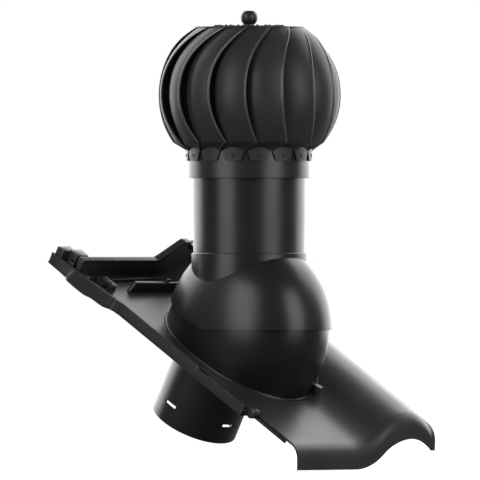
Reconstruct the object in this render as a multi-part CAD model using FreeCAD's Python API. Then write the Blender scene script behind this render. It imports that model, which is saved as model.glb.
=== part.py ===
import FreeCAD, Part
import math
import os

os.makedirs("parts", exist_ok=True)

V = FreeCAD.Vector
X_AXIS = V(1, 0, 0)
Z_AXIS = V(0, 0, 1)
FAR = 400.0

# The model is drawn about the centre on which the hood tilts.
# X runs across the roof, Y uphill and Z up; the tube stands along Z.
# The roof frame has x across, t uphill along the roof and w square to the roof.

# Roof and tile
roof_pitch = 30.0
pan_drop = 47.3
sheet = 3.2
pan_left = -106.0
roll_foot = 8.0
roll_crest = 124.0
roll_height = 36.8
flank_radius = 56.0
flank_width = 38.0
lip_width = 6.0
tile_head = 286.0
front_reach = 203.7
nose_radius = 28.0
apron_wall = 3.0
apron_drop = 31.1

# Side lock on the left of the pan
lock_front = -130.0
lock_outline = (
    (-126.0, lock_front), (-126.0, 153.0), (-131.7, 176.5), (-140.0, 177.5), (-140.0, 196.0),
    (-148.0, 212.0), (-147.0, 249.0), (-141.0, 259.0), (-139.0, 301.0),
)
rim_wall = 3.5
rim_top = 9.5
rim_top_head = 8.0
rim_step = 165.0
lug_radius = 7.5
lug_length = 12.0
lug_inset = 8.0
lock_bottom = -9.0
lock_floor = 3.0
edge_drop = 8.5

# Head wall, ribs and nibs
wall_front = 248.6
wall_thick = 9.3
wall_left = -130.0
wall_height = 26.0
wall_slope_start = 14.7
wall_slope_end = 46.6
wall_peak = 62.6
wall_shoulder = 62.2
wall_shoulder_height = 60.7
wall_right_height = 53.8
wall_end = 88.0
post_left = -136.0
post_width = 24.0
post_start = 284.0
post_length = 14.0
post_top = 20.0
step_width = 23.0
step_length = 17.0
step_top = 22.0
flank_boss_radius = 5.5
flank_boss_x = 55.0
flank_boss_t = -93.0
flank_boss_top = 32.0
low_rib_height = 4.0
cross_rib_t = 202.0
cross_rib_height = 14.7
cross_rib_wall = 6.0
nib_height = 18.0
nib_width = 22.0
nib_length = 13.0
fixing_radius = 2.75
fixing_spacing = 70.0
fixing_t = 272.0
fixing_x = -35.0

# Levelling dome
dome_half_width = 91.5
dome_radius = 126.5
dome_wall = 2.8
dome_fit = 0.3
foot_width = 4.2
foot_height = 2.4
mid_tilt = 6.0
throat_inset = 1.0
boss_radius = 5.0
boss_height = 15.0
boss_inset = 7.0
boss_overlap = 0.5
pilot_roof = 3.0
boss_angles = (20.0, 90.0, 160.0, 200.0, 270.0, 340.0)
screw_radius = 1.6
screw_clearance = 0.4
screw_head_radius = 4.0
screw_head_height = 2.4
gasket_thickness = 1.5
seal_width = 6.0
seal_gap = 0.2

# Spigot plate
plate_margin = 8.0
plate_thickness = 2.5
spigot_radius = 62.5
spigot_wall = 2.5
spigot_offset = 54.0
spigot_reach = 129.0
slot_width = 17.5
slot_height = 5.0
slot_above_mouth = 26.0
plate_blend = 4.0

# Hood and collar
hood_gap = 2.3
hood_wall = 2.2
hood_rear_angle = 23.6
collar_thickness = 2.9
collar_top = 109.0
collar_foot = 60.0
collar_chamfer = 1.2
socket_floor = 105.0
sleeve_top = 150.0
throat_step = 5.4
mark_width = 1.6
mark_height = 7.0

# Tube
tube_bottom_radius = 79.0
tube_widening = 1.5
tube_wall = 2.2
tube_top = 240.0
tube_gap = 0.2
ring_seal_z = 125.0
ring_seal_height = 3.0
ring_seal_depth = 1.4

# Bearing bridge and housing
bridge_z = 219.0
bridge_plate = 3.0
bridge_ring = 30.0
arm_width = 18.0
arm_angles = (90.0, 210.0, 330.0)
bridge_tab_top = 238.0
bridge_rivet_heights = (226.0, 234.0)
rivet_shank = 1.9
housing_radius = 19.0
housing_bottom = 205.0
housing_top = 291.0
housing_flange = 30.0
flange_bolt_circle = 25.0
bolt_radius = 2.0

# Bearings and shaft
shaft_radius = 6.0
race_outer_radius = 14.0
race_height = 8.0
ball_radius = 2.1
ball_circle = 10.0
ball_count = 8
lower_bearing_z = 208.0
upper_bearing_z = 280.0
circlip_thickness = 1.2
shoulder_radius = 9.0
shoulder_height = 12.0
shaft_bottom = 200.0
shaft_tip = 440.0

# Rotor
blade_count = 15
blade_phase = 7.0
blade_span = 24.8
rotor_radius = 128.4
rotor_half_height = 119.7
rotor_centre = 332.8
blade_bottom = 265.0
blade_sheet = 1.0
louvre_gap = 14.2
louvre_gap_end = 3.0
top_twist = 25.0
bottom_twist = 8.5
hem_width = 5.0
hem_raise = 0.9
skirt_clearance = 5.5
skirt_wall = 1.0
skirt_bottom = 215.0
skirt_top = 256.0
petal_bottom = 239.0
petal_span = 23.4
petal_phase = 17.9
petal_flat = 17.0
petal_corner = 5.0
petal_rivet_z = 247.0
petal_rivet_head = 2.7
petal_rivet_rise = 3.0
crown_z = 428.0
crown_thickness = 1.2
crown_radius = 77.2
cap_radius = 52.0
cap_thickness = 1.2
crown_tab_inner = 44.0
crown_rivet_circle = 47.5
crown_rivet_head = 2.25
crown_rivet_rise = 1.7
crown_rivet_shank = 1.25
crown_rivet_half_angle = 4.6
crown_rivet_lag = 13.65
foot_trim = 0.9
tab_start = 2.3
tab_end = 23.8
hub_flange_radius = 34.0
hub_flange_thickness = 3.0
hub_radius = 15.0
hub_length = 20.0
hub_rivet_circle = 25.0
hub_rivet_shank = 2.0
knob_radius = 12.0
knob_centre = 442.0
knob_top = 452.0
knob_foot_radius = 7.5
knob_foot_height = 3.0

# Values that follow from the sizes above
pitch_angle = 360.0 / blade_count
dome_t = pan_drop * math.sin(math.radians(roof_pitch))
dome_w = pan_drop * math.cos(math.radians(roof_pitch))
lip_left = roll_crest + flank_width
lip_right = lip_left + lip_width
plate_top = -sheet - gasket_thickness
lock_head = lock_outline[-1][1]
hood_half_width = dome_half_width + hood_gap + hood_wall
hood_radius = dome_radius + hood_gap + hood_wall
collar_radius = tube_bottom_radius + collar_thickness
throat_bore = tube_bottom_radius - throat_step
throat_radius = tube_bottom_radius - throat_inset
seal_inner = throat_radius + throat_inset
seal_outer = seal_inner + seal_width
tube_top_radius = tube_bottom_radius + tube_widening
skirt_radius = tube_top_radius + skirt_clearance


def roof_to_world(shape):
    placed = shape.copy()
    placed.rotate(V(0, 0, 0), X_AXIS, roof_pitch)
    placed.translate(V(0, 0, -pan_drop))
    return placed


def roof_point(x, t, w):
    pitch = math.radians(roof_pitch)
    y = t * math.cos(pitch) - w * math.sin(pitch)
    z = t * math.sin(pitch) + w * math.cos(pitch) - pan_drop
    return V(x, y, z)


def disc(radius, bottom, top, centre=(0.0, 0.0)):
    return Part.makeCylinder(radius, top - bottom, V(centre[0], centre[1], bottom))


def ring(outer, inner, bottom, top):
    return disc(outer, bottom, top).cut(disc(inner, bottom - 1, top + 1))


def spun(face, axis):
    # Some turned faces come out inside out, so the solid is set right here.
    solid = face.revolve(V(0, 0, 0), axis, 360)
    if solid.Volume < 0:
        solid.reverse()
    return solid


def block(x0, x1, y0, y1, z0, z1):
    return Part.makeBox(x1 - x0, y1 - y0, z1 - z0, V(x0, y0, z0))


def prism(points, direction):
    wire = Part.makePolygon(points + [points[0]])
    return Part.Face(wire).extrude(direction)


def plan_prism(points, bottom, top):
    return prism([V(x, y, bottom) for x, y in points], V(0, 0, top - bottom))


def turned(shape, angle):
    copy = shape.copy()
    copy.rotate(V(0, 0, 0), Z_AXIS, angle)
    return copy


def spoke(shape, angle):
    # A shape drawn up the Z axis is laid along the radius at this angle.
    copy = shape.copy()
    copy.rotate(V(0, 0, 0), V(0, 1, 0), 90)
    copy.rotate(V(0, 0, 0), Z_AXIS, angle)
    return copy


def joined(shapes):
    result = shapes[0].multiFuse(shapes[1:]) if len(shapes) > 1 else shapes[0]
    return result.removeSplitter()


def save(name, shape):
    moved = shape.copy()
    moved.translate(roof_point(0, spigot_offset, -spigot_reach).negative())
    moved.exportStep("parts/" + name + ".step")


def ellipsoid(half_width, radius):
    curve = Part.Ellipse(V(0, radius, 0), V(half_width, 0, 0), V(0, 0, 0))
    half = Part.Arc(curve, -math.pi / 2, math.pi / 2).toShape()
    base = Part.makeLine(half.Vertexes[-1].Point, half.Vertexes[0].Point)
    return spun(Part.Face(Part.Wire([half, base])), X_AXIS)


def oval(half_width, radius, bottom, top):
    curve = Part.Ellipse(V(0, radius, 0), V(half_width, 0, 0), V(0, 0, 0))
    face = Part.Face(Part.Wire([curve.toShape()]))
    solid = face.extrude(V(0, 0, top - bottom))
    if solid.Volume < 0:
        solid.reverse()
    solid.translate(V(0, dome_t, bottom))
    return solid


def profile_edges(drop, left, right):
    # The tile's cross-section in x and w, lowered square to itself by drop.
    run = roll_crest - roll_foot
    radius = (run ** 2 + roll_height ** 2) / (4 * roll_height)
    bend = math.asin(run / (2 * radius))
    flank_low = math.asin(flank_width / flank_radius)
    lip_w = roll_height - flank_radius * (1 - math.cos(flank_low))
    lower = roll_height - flank_radius
    flank = math.acos((lip_w - drop - lower) / (flank_radius - drop))

    def foot(angle):
        reach = radius + drop
        return V(roll_foot + reach * math.sin(angle), 0, radius - reach * math.cos(angle))

    def crest(angle, arc_radius):
        reach = arc_radius - drop
        height = roll_height - arc_radius + reach * math.cos(angle)
        return V(roll_crest + reach * math.sin(angle), 0, height)

    start = V(left, 0, -drop)
    end = V(right, 0, lip_w - drop)
    top = crest(0, radius)
    return [
        Part.makeLine(start, foot(0)),
        Part.Arc(foot(0), foot(bend / 2), foot(bend)).toShape(),
        Part.Arc(foot(bend), crest(-bend / 2, radius), top).toShape(),
        Part.Arc(top, crest(flank / 2, flank_radius), crest(flank, flank_radius)).toShape(),
        Part.makeLine(crest(flank, flank_radius), end),
    ]


def under_roof(drop, left, right, floor, front, head):
    edges = profile_edges(drop, left, right)
    first = edges[0].Vertexes[0].Point
    last = V(right, 0, edges[-1].BoundBox.ZMin)
    low_right = V(right, 0, floor)
    low_left = V(left, 0, floor)
    closing = [
        Part.makeLine(last, low_right),
        Part.makeLine(low_right, low_left),
        Part.makeLine(low_left, first),
    ]
    solid = Part.Face(Part.Wire(edges + closing)).extrude(V(0, head - front, 0))
    solid.translate(V(0, front, 0))
    return solid


def front_rounded(solid, plane_y, radius):
    trimmed = solid.cut(block(-FAR, FAR, plane_y - FAR, plane_y, -FAR, FAR))
    chain = []
    for edge in trimmed.Edges:
        box = edge.BoundBox
        on_front = box.YMax - plane_y < 0.01
        across = box.XLength > 1.0
        upper = box.ZMin > plane_floor(plane_y) + 40.0
        if on_front and across and upper:
            chain.append(edge)
    return trimmed.makeFillet(radius, chain)


def plane_floor(plane_y):
    # Height of the low closing face of an under_roof solid at this plane.
    pitch = math.radians(roof_pitch)
    return plane_y * math.tan(pitch) - pan_drop - 90.0 / math.cos(pitch)


def side_lock():
    outer = list(lock_outline)
    inner = [(x + rim_wall, t + rim_wall if index == 2 or index == 3 else t)
             for index, (x, t) in enumerate(outer)]
    rim = plan_prism(outer + inner[::-1], lock_bottom, rim_top)
    rim = rim.cut(block(-FAR, 0, rim_step, FAR, rim_top_head, rim_top + 1))
    edge = pan_left + 0.5
    floor_line = outer + [(edge, lock_head), (edge, lock_front)]
    floor = plan_prism(floor_line, lock_bottom, lock_bottom + lock_floor)
    inner_wall = block(pan_left - sheet, edge, lock_front, lock_head, lock_bottom, 0)
    end_wall = block(outer[0][0], edge, lock_front, lock_front + rim_wall, lock_bottom, 0)
    lug_start = V(pan_left - lug_length, lock_front - lug_inset, 0)
    lug = Part.makeCylinder(lug_radius, lug_length, lug_start, X_AXIS)
    nose_start = -(front_reach / math.cos(math.radians(roof_pitch))) + nose_radius
    turned_edge = block(pan_left, pan_left + sheet, nose_start, lock_front + 2, -edge_drop, -1)
    return [rim, floor, inner_wall, end_wall, lug, turned_edge]


def head_wall():
    outline = [
        V(wall_left, wall_front, lock_bottom),
        V(wall_left, wall_front, wall_height),
        V(wall_slope_start, wall_front, wall_height),
        V(wall_slope_end, wall_front, wall_peak),
        V(wall_shoulder, wall_front, wall_shoulder_height),
        V(wall_shoulder + 2, wall_front, wall_right_height),
        V(wall_end, wall_front, wall_right_height),
        V(wall_end, wall_front, lock_bottom),
    ]
    wall = prism(outline, V(0, wall_thick, 0))
    post = block(post_left, post_left + post_width, post_start, post_start + post_length,
                 lock_bottom, post_top)
    step_left = post_left + post_width / 2
    step = block(step_left, step_left + step_width, post_start - step_length, post_start + 1,
                 lock_bottom + 1, step_top)
    return [wall, post, step]


def tile_ribs():
    low = plan_prism([(-80, 229), (40, 236), (40, 240), (-80, 233)], -1, low_rib_height)
    boss = disc(flank_boss_radius, 0, flank_boss_top, (flank_boss_x, flank_boss_t))
    rear = cross_rib_t + cross_rib_wall
    cross = block(-66, 58, cross_rib_t, rear, -1, cross_rib_height)
    slope = prism([V(-67, 0, -1), V(-67, 0, 20), V(-58, 0, 20)], V(0, FAR, 0))
    frame = block(-105, -82, 214, 237, -1, 3).cut(block(-101, -84, 219, 233, 0.5, 9))
    lug = block(-104, -91, 196, 213, -1, 16)
    for index in range(3):
        lug = lug.cut(disc(1.6, 0, 20, (-104 + 4 * index + 2.5, 196)))
    return [low, boss, cross.cut(slope), frame, lug]


def batten_nibs():
    nibs = []
    for x in (fixing_x - fixing_spacing / 2, fixing_x + fixing_spacing / 2 + 20):
        low = -sheet - nib_height
        nib = block(x - nib_width / 2, x + nib_width / 2, 240, 240 + nib_length, low, -1)
        nibs.append(nib)
    return nibs


def base_tile():
    outer = roof_to_world(under_roof(0, pan_left, lip_right, -90, -FAR, tile_head))
    inner = roof_to_world(under_roof(sheet, -FAR, FAR, -120, -FAR, tile_head + 5))
    below = outer.copy()
    below.translate(V(0, 0, -apron_drop))
    shell = front_rounded(outer, -front_reach, nose_radius)
    core = front_rounded(inner, -front_reach + apron_wall, nose_radius - apron_wall)
    skin = shell.cut(core).cut(below)
    extras = [roof_to_world(piece) for piece in side_lock()]
    above = [roof_to_world(piece).cut(core) for piece in tile_ribs()]
    wall = [roof_to_world(piece) for piece in head_wall()]
    wall[0] = wall[0].cut(core)
    nibs = [roof_to_world(piece) for piece in batten_nibs()]
    tile = joined([skin] + extras + above + wall + nibs)
    gap = dome_fit
    opening = oval(dome_half_width + gap, dome_radius + gap, -50, 80)
    tile = tile.cut(roof_to_world(opening))
    for side in (-0.5, 0.5):
        hole = disc(fixing_radius, -20, 20, (fixing_x + side * fixing_spacing, fixing_t))
        tile = tile.cut(roof_to_world(hole))
    return tile


def half_ellipsoid(half_width, radius):
    matrix = FreeCAD.Matrix()
    matrix.scale(half_width, radius, radius)
    return Part.makeSphere(1, V(0, 0, 0), Z_AXIS, 0, 90, 360).transformGeometry(matrix)


def dome_cap():
    # Round above the plane through its centre along the roof.
    outer = half_ellipsoid(dome_half_width, dome_radius)
    cap = outer.cut(half_ellipsoid(dome_half_width - dome_wall, dome_radius - dome_wall))
    cap.rotate(V(0, 0, 0), X_AXIS, roof_pitch)
    return cap.cut(leaning(disc(throat_radius, 0, FAR)))


def dome_wall_ring():
    # Straight below that plane, square to the roof.
    outer = oval(dome_half_width, dome_radius, -sheet, dome_w)
    inner = oval(dome_half_width - dome_wall, dome_radius - dome_wall, -sheet - 5, dome_w + 5)
    return roof_to_world(outer.cut(inner))


def dome_foot():
    foot = oval(dome_half_width + foot_width, dome_radius + foot_width, -1, 60)
    foot = foot.cut(oval(dome_half_width, dome_radius, -2, 61))
    surface = under_roof(0, -FAR, FAR, -90, -FAR, FAR)
    crown = surface.copy()
    crown.translate(V(0, 0, foot_height))
    return roof_to_world(foot.common(crown).cut(surface))


def leaning(shape):
    copy = shape.copy()
    copy.rotate(V(0, 0, 0), X_AXIS, mid_tilt)
    return copy


def boss_places():
    places = []
    for angle in boss_angles:
        turn = math.radians(angle)
        x = (dome_half_width - boss_inset) * math.cos(turn)
        t = dome_t + (dome_radius - boss_inset) * math.sin(turn)
        places.append((x, t))
    return places


def levelling_dome():
    half_width = dome_half_width - boss_overlap
    inside = roof_to_world(oval(half_width, dome_radius - boss_overlap, -sheet - 1, dome_w))
    bosses = []
    for place in boss_places():
        boss = roof_to_world(disc(boss_radius, -sheet, boss_height - sheet, place))
        bosses.append(boss.common(inside))
    dome = dome_cap().fuse(dome_wall_ring()).fuse(dome_foot()).multiFuse(bosses)
    dome = dome.removeSplitter()
    for place in boss_places():
        pilot = disc(screw_radius, -sheet - 1, boss_height - sheet - pilot_roof, place)
        dome = dome.cut(roof_to_world(pilot))
    return dome


def spigot_gasket():
    outer = oval(dome_half_width + plate_margin - 1, dome_radius + plate_margin - 1, plate_top, -sheet)
    inner = oval(dome_half_width - 14, dome_radius - 14, plate_top - 1, 0)
    gasket = outer.cut(inner)
    for place in boss_places():
        gasket = gasket.cut(disc(screw_radius + screw_clearance, -20, 20, place))
    return roof_to_world(gasket)


def spigot_plate():
    bottom = plate_top - plate_thickness
    margin = plate_margin
    plate = oval(dome_half_width + margin, dome_radius + margin, bottom, plate_top)
    centre = (0.0, spigot_offset)
    pipe = disc(spigot_radius, -spigot_reach, plate_top, centre)
    blend = Part.makeCone(
        spigot_radius, spigot_radius + plate_blend, plate_blend,
        V(0, spigot_offset, bottom - plate_blend))
    body = joined([plate, pipe, blend])
    body = body.cut(disc(spigot_radius - spigot_wall, -FAR, FAR, centre))
    low = slot_above_mouth - spigot_reach
    for angle in (0, 90):
        cutter = block(-80, 80, -slot_width / 2, slot_width / 2, low, low + slot_height)
        cutter.rotate(V(0, 0, 0), Z_AXIS, angle)
        cutter.translate(V(0, spigot_offset, 0))
        body = body.cut(cutter)
    for place in boss_places():
        body = body.cut(disc(screw_radius + screw_clearance, -20, 20, place))
    return roof_to_world(body)


def spigot_screws():
    screws = []
    head_top = plate_top - plate_thickness
    for place in boss_places():
        head = disc(screw_head_radius, head_top - screw_head_height, head_top, place)
        shank = disc(screw_radius - 0.05, head_top - 1, boss_height - sheet - 4, place)
        screws.append(roof_to_world(head.fuse(shank)))
    return Part.makeCompound(screws)


def dome_seal():
    hood_inside = hood_radius - hood_wall
    inner_width = hood_half_width - hood_wall
    outer = ellipsoid(inner_width - dome_fit, hood_inside - dome_fit)
    inner = ellipsoid(dome_half_width + seal_gap, dome_radius + seal_gap)
    band = ring(seal_outer, seal_inner, 20, FAR)
    return outer.cut(inner).common(leaning(band))


def hood():
    outer = half_ellipsoid(hood_half_width, hood_radius)
    inner_dome = half_ellipsoid(hood_half_width - hood_wall, hood_radius - hood_wall)
    collar = Part.makeCone(
        collar_radius + 0.6, collar_radius, collar_top - collar_foot, V(0, 0, collar_foot))
    chamfer = ring(FAR, collar_radius - collar_chamfer, collar_top - collar_chamfer, collar_top + 1)
    bevel = Part.makeCone(
        collar_radius, collar_radius - collar_chamfer, collar_chamfer,
        V(0, 0, collar_top - collar_chamfer))
    collar = collar.cut(chamfer).fuse(bevel)
    body = outer.fuse(collar)
    body = body.cut(inner_dome)
    bore = tube_bottom_radius - tube_wall - tube_gap
    body = body.cut(ring(tube_bottom_radius + dome_fit, bore, socket_floor, FAR))
    body = body.cut(disc(bore, collar_top - 8, FAR)).cut(disc(throat_bore, 0, FAR))
    sleeve = ring(bore, throat_bore, collar_top - 8, sleeve_top)
    sleeve = sleeve.cut(inner_dome)
    groove = ring(bore + 1, bore - ring_seal_depth, ring_seal_z, ring_seal_z + ring_seal_height)
    sleeve = sleeve.cut(groove)
    mark_y = -collar_radius - 0.4
    mark = block(-mark_width / 2, mark_width / 2, mark_y, mark_y + 2,
                 collar_top - 1.5 - mark_height, collar_top - 1.5)
    body = joined([body, sleeve, mark])
    wedge = block(-FAR, FAR, -FAR, FAR, -FAR, 0)
    wedge.rotate(V(0, 0, 0), X_AXIS, hood_rear_angle)
    return body.cut(wedge)


def tube_radius(z, inset):
    share = (z - socket_floor) / (tube_top - socket_floor)
    return tube_bottom_radius + share * (tube_top_radius - tube_bottom_radius) - inset


def vent_tube():
    foot = socket_floor + tube_gap
    height = tube_top - foot
    outer = Part.makeCone(tube_radius(foot, 0), tube_radius(tube_top, 0), height, V(0, 0, foot))
    inner = Part.makeCone(
        tube_radius(foot, tube_wall), tube_radius(tube_top, tube_wall), height, V(0, 0, foot))
    tube = outer.cut(inner)
    for place in bridge_rivet_places():
        tube = tube.cut(rivet_hole(place, rivet_shank + 0.05))
    return tube


def collar_seal():
    bore = tube_bottom_radius - tube_wall - tube_gap
    return ring(bore + 0.15, bore - ring_seal_depth + 0.05,
                ring_seal_z + 0.1, ring_seal_z + ring_seal_height - 0.1)


def bridge_rivet_places():
    return [(angle, z) for angle in arm_angles for z in bridge_rivet_heights]


def rivet_hole(place, radius):
    angle, z = place
    hole = spoke(disc(radius, 60, 100), angle)
    hole.translate(V(0, 0, z))
    return hole


def bearing_bridge():
    top = bridge_z + bridge_plate
    wall = tube_radius(bridge_z, tube_wall) - dome_fit
    centre = disc(bridge_ring, bridge_z, top)
    arms = []
    for angle in arm_angles:
        arm = block(bridge_ring - 4, wall + 3, -arm_width / 2, arm_width / 2, bridge_z, top)
        tab = block(wall - bridge_plate, wall + 3, -arm_width / 2, arm_width / 2,
                    bridge_z, bridge_tab_top)
        arms.append(turned(arm.fuse(tab), angle))
    bridge = joined([centre] + arms).common(disc(wall, 0, FAR))
    bridge = bridge.cut(disc(housing_radius + 0.1, 0, FAR))
    for angle in arm_angles:
        place = polar(flange_bolt_circle, angle + 60)
        bridge = bridge.cut(disc(bolt_radius + 0.2, 0, FAR, place))
    for place in bridge_rivet_places():
        bridge = bridge.cut(rivet_hole(place, rivet_shank + 0.05))
    return bridge


def polar(radius, angle):
    turn = math.radians(angle)
    return (radius * math.cos(turn), radius * math.sin(turn))


def bridge_rivets():
    rivets = []
    inside = tube_radius(bridge_z, tube_wall) - dome_fit - bridge_plate - 0.9
    for angle, z in bridge_rivet_places():
        outside = tube_radius(z, 0)
        shank = disc(rivet_shank, inside - 0.5, outside + 0.5)
        head = disc(3.4, outside + 0.1, outside + 1.5)
        tail = disc(2.9, inside - 1.2, inside)
        rivet = spoke(joined([shank, head, tail]), angle)
        rivet.translate(V(0, 0, z))
        rivets.append(rivet)
    return Part.makeCompound(rivets)


def bearing_housing():
    seat = race_outer_radius + 0.02
    body = disc(housing_radius, housing_bottom, housing_top)
    flange = disc(housing_flange, bridge_z + bridge_plate, bridge_z + 2 * bridge_plate)
    body = joined([body, flange]).cut(disc(seat - 1.6, 0, FAR))
    body = body.cut(disc(seat, 0, lower_bearing_z + race_height))
    body = body.cut(disc(seat, upper_bearing_z, FAR))
    for low in circlip_heights():
        body = body.cut(disc(seat + 0.9, low, low + circlip_thickness + 0.05))
    for angle in arm_angles:
        place = polar(flange_bolt_circle, angle + 60)
        body = body.cut(disc(bolt_radius + 0.2, 0, FAR, place))
    return body


def circlip_heights():
    return (lower_bearing_z - circlip_thickness - 0.05, upper_bearing_z + race_height)


def bearing_circlips():
    rings = []
    for low in circlip_heights():
        seat = race_outer_radius + 0.85
        clip = ring(seat, seat - 2.2, low + 0.02, low + circlip_thickness + 0.02)
        rings.append(clip.cut(block(0, 30, -3, 3, low - 1, low + 3)))
    return Part.makeCompound(rings)


def housing_screws():
    screws = []
    top = bridge_z + 2 * bridge_plate
    for angle in arm_angles:
        place = polar(flange_bolt_circle, angle + 60)
        shank = disc(bolt_radius, bridge_z - 5, top + 1, place)
        head = disc(3.5, top, top + 2.8, place)
        screws.append(shank.fuse(head).removeSplitter())
    return Part.makeCompound(screws)


def housing_nuts():
    nuts = []
    for angle in arm_angles:
        x, y = polar(flange_bolt_circle, angle + 60)
        corners = [polar(4.0, 60 * index) for index in range(6)]
        nut = plan_prism([(x + a, y + b) for a, b in corners], bridge_z - 3.2, bridge_z)
        nuts.append(nut.cut(disc(bolt_radius + 0.05, 0, FAR, (x, y))))
    return Part.makeCompound(nuts)


def ball_track(bottom):
    middle = bottom + race_height / 2
    return Part.makeTorus(ball_circle, ball_radius + 0.05, V(0, 0, middle), Z_AXIS)


def outer_race(bottom):
    race = ring(race_outer_radius, ball_circle + 1.8, bottom, bottom + race_height)
    return race.cut(ball_track(bottom))


def inner_race(bottom):
    race = ring(ball_circle - 1.8, shaft_radius + 0.02, bottom, bottom + race_height)
    return race.cut(ball_track(bottom))


def bearing_balls():
    balls = []
    for bottom in (lower_bearing_z, upper_bearing_z):
        for index in range(ball_count):
            x, y = polar(ball_circle, 360.0 * index / ball_count)
            balls.append(Part.makeSphere(ball_radius, V(x, y, bottom + race_height / 2)))
    return Part.makeCompound(balls)


def rotor_shaft():
    shaft = disc(shaft_radius, shaft_bottom, shaft_tip)
    shoulder_z = upper_bearing_z + race_height
    shoulder = disc(8.0, shoulder_z, shoulder_z + 3)
    collar = disc(shoulder_radius, shoulder_z + 3, shoulder_z + shoulder_height)
    groove_z = lower_bearing_z - circlip_thickness - 0.05
    groove = ring(FAR, shaft_radius - 0.7, groove_z, groove_z + circlip_thickness + 0.05)
    return joined([shaft, shoulder, collar]).cut(groove)


def shaft_circlip():
    low = lower_bearing_z - circlip_thickness - 0.03
    clip = ring(shaft_radius + 1.9, shaft_radius - 0.65, low, low + circlip_thickness)
    return clip.cut(block(0, 20, -2.5, 2.5, low - 1, low + 3))


def outline_radius(z):
    share = (z - rotor_centre) / rotor_half_height
    return rotor_radius * math.sqrt(1 - share ** 2)


def outline_slope(z):
    rise = (z - rotor_centre) * (rotor_radius / rotor_half_height) ** 2
    return math.sqrt(1 + (rise / outline_radius(z)) ** 2)


def latitude(z):
    return math.asin((z - rotor_centre) / rotor_half_height)


def hem_twist(z):
    if z > rotor_centre:
        return top_twist * (latitude(z) / latitude(crown_z)) ** 2.6
    return bottom_twist * (latitude(z) / latitude(blade_bottom)) ** 1.9


def edge_gap(z):
    end = crown_z if z > rotor_centre else blade_bottom
    share = (z - rotor_centre) / (end - rotor_centre)
    return louvre_gap_end + (louvre_gap - louvre_gap_end) * (1 - share ** 2)


def at(radius, angle, z):
    x, y = polar(radius, angle)
    return V(x, y, z)


def blade_section(z):
    radius = outline_radius(z)
    skin = blade_sheet * outline_slope(z)
    gap = edge_gap(z)
    hem = hem_twist(z)
    tail = hem - blade_span
    middle = hem - blade_span / 2
    fold = math.degrees(hem_width / radius)
    raised = radius + hem_raise * outline_slope(z)
    bulge = radius - 0.25 * gap
    near = radius - 0.02 * gap
    edges = [
        Part.makeLine(at(radius - skin, hem, z), at(raised, hem, z)),
        Part.makeLine(at(raised, hem, z), at(near + hem_raise, hem - fold, z)),
        Part.makeLine(at(near + hem_raise, hem - fold, z), at(near, hem - fold, z)),
        Part.Arc(at(near, hem - fold, z), at(bulge, middle, z), at(radius - gap, tail, z)).toShape(),
        Part.makeLine(at(radius - gap, tail, z), at(radius - gap - skin, tail, z)),
        Part.Arc(at(radius - gap - skin, tail, z), at(bulge - skin, middle, z),
                 at(radius - skin, hem, z)).toShape(),
    ]
    return Part.Wire(edges)


def arc_section(z, outer, inner, start, end, sag):
    middle = (start + end) / 2
    outside = Part.Arc(at(outer, start, z), at(outer - 0.36 * sag, middle, z), at(outer - sag, end, z))
    inside = Part.Arc(at(inner - sag, end, z), at(inner - 0.36 * sag, middle, z), at(inner, start, z))
    edges = [
        outside.toShape(),
        Part.makeLine(at(outer - sag, end, z), at(inner - sag, end, z)),
        inside.toShape(),
        Part.makeLine(at(inner, start, z), at(outer, start, z)),
    ]
    return Part.Wire(edges)


def blade_levels():
    lower = [blade_bottom, 282.0, 305.0]
    upper = [357.0, 380.0, 400.0, 416.0]
    return lower + [rotor_centre] + upper + [crown_z]


def petal_outline():
    # The flat shape of a petal in y and z, to be cut out along the radius.
    half = skirt_radius * math.sin(math.radians(petal_span / 2))
    flat = petal_flat / 2
    waist = petal_bottom + petal_corner
    points = [
        V(0, -flat, petal_bottom), V(0, flat, petal_bottom),
        V(0, flat + petal_corner, waist), V(0, half, skirt_top + 1),
        V(0, -half, skirt_top + 1), V(0, -flat - petal_corner, waist),
    ]
    return prism(points, V(FAR, 0, 0))


def first_blade():
    body = Part.makeLoft([blade_section(z) for z in blade_levels()], True, False)
    inner = skirt_radius + 0.1
    outer = inner + blade_sheet
    petal_start = petal_phase + petal_span / 2 - pitch_angle - blade_phase
    petal_end = petal_start - petal_span
    radius = outline_radius(blade_bottom)
    skin = 2.2 * blade_sheet
    lower = arc_section(blade_bottom + 0.5, radius, radius - skin, bottom_twist - foot_trim,
                        bottom_twist - blade_span + foot_trim, louvre_gap_end)
    foot = arc_section(skirt_top, outer + 0.4, inner, petal_start, petal_end, 0)
    bend = Part.makeLoft([lower, foot], True, True)
    petal = ring(outer, inner, petal_bottom - 1, skirt_top + 0.3)
    petal = petal.common(turned(petal_outline(), (petal_start + petal_end) / 2))
    top_angle = hem_twist(crown_z)
    tab = ring(outline_radius(crown_z) - 0.2, crown_tab_inner, crown_z - blade_sheet, crown_z)
    tab = tab.common(sector(top_angle - tab_end, top_angle - tab_start))
    blade = joined([body, bend, petal, tab])
    blade = blade.cut(spoke_at(1.6, petal_phase - pitch_angle - blade_phase, petal_rivet_z))
    for angle in crown_rivet_angles():
        place = polar(crown_rivet_circle, angle)
        blade = blade.cut(disc(crown_rivet_shank + 0.05, crown_z - 5, crown_z + 5, place))
    return blade


def spoke_at(radius, angle, z):
    hole = spoke(disc(radius, 60, 120), angle)
    hole.translate(V(0, 0, z))
    return hole


def crown_rivet_angles():
    middle = hem_twist(crown_z) - crown_rivet_lag
    return (middle - crown_rivet_half_angle, middle + crown_rivet_half_angle)


def sector(start, end):
    far = FAR
    points = [V(0, 0, 200), at(far, start, 200), at(far, end, 200)]
    return prism(points, V(0, 0, 300))


def skirt_ring():
    skirt = ring(skirt_radius, skirt_radius - skirt_wall, skirt_bottom, skirt_top)
    for index in range(blade_count):
        angle = petal_phase + index * pitch_angle
        skirt = skirt.cut(spoke_at(1.6, angle, petal_rivet_z))
    return skirt


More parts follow.
